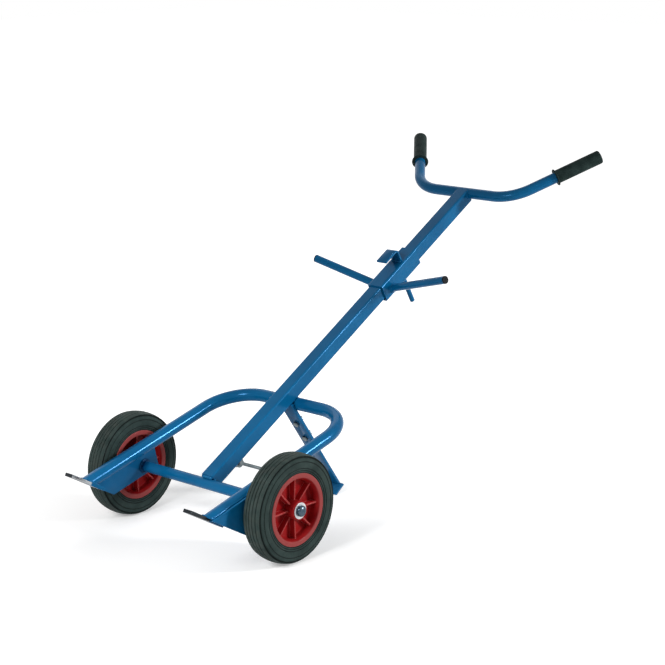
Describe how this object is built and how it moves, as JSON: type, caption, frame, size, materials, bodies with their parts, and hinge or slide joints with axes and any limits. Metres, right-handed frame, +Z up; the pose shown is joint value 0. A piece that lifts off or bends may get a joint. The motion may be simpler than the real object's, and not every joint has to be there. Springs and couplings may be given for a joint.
{
  "type": "drum trolley",
  "caption": "Wheeled drum trolley with a leaning square stem, bent handlebar, tube hoop with toes, sliding rim claw with cradle arms, and a prop stand.",
  "frame": {"origin": "on the floor, under the middle of the whole outline", "axes": "+X along the axle to the left wheel as seen from the handle, +Y from the toes back to the handle, +Z up"},
  "size_m": [0.593, 1.3514, 0.7722],
  "materials": {
    "blue_paint": "gloss",
    "toe_steel": "satin",
    "zinc_steel": "satin",
    "grip_rubber": "matte",
    "black_plastic": "matte",
    "tyre_rubber": "matte",
    "red_plastic": "gloss",
    "bush_nylon": "matte"
  },
  "bodies": {
    "frame": {"stem_tube": "blue_paint", "handlebar_tube": "blue_paint", "grip_left": "grip_rubber", "grip_right": "grip_rubber", "hoop_tube": "blue_paint", "gusset_left": "blue_paint", "gusset_right": "blue_paint", "toe_left": "toe_steel", "toe_right": "toe_steel", "axle_tube": "blue_paint", "axle_rod": "zinc_steel", "axle_spacers": "zinc_steel", "axle_caps": "zinc_steel", "stand_bracket": "blue_paint", "prop_leg": "blue_paint", "prop_foot": "blue_paint", "prop_bolts": "zinc_steel", "prop_nuts": "zinc_steel", "stay_lug": "blue_paint", "stay_rod": "zinc_steel", "stay_bolt": "zinc_steel", "stay_nut": "zinc_steel"},
    "wheel_left": {"tyre_left": "tyre_rubber", "rim_left": "red_plastic", "bush_left": "bush_nylon"},
    "wheel_right": {"tyre_right": "tyre_rubber", "rim_right": "red_plastic", "bush_right": "bush_nylon"},
    "slider": {"slider_sleeve": "blue_paint", "cradle_arm_left": "blue_paint", "cradle_arm_right": "blue_paint", "cradle_cap_left": "black_plastic", "cradle_cap_right": "black_plastic", "rim_claw": "blue_paint", "pull_rod": "blue_paint"}
  },
  "joints": [
    {"name": "wheel_left_spin", "type": "hinge", "parent": "frame", "child": "wheel_left", "pos_m": [0.2445, -0.43237, 0.12], "axis": [1, 0, 0], "continuous": true},
    {"name": "wheel_right_spin", "type": "hinge", "parent": "frame", "child": "wheel_right", "pos_m": [-0.2445, -0.43237, 0.12], "axis": [1, 0, 0], "continuous": true},
    {"name": "slider_slide", "type": "slide", "parent": "frame", "child": "slider", "axis": [0, 0.866, 0.5], "range_m": [-0.33, 0.22]}
  ]
}
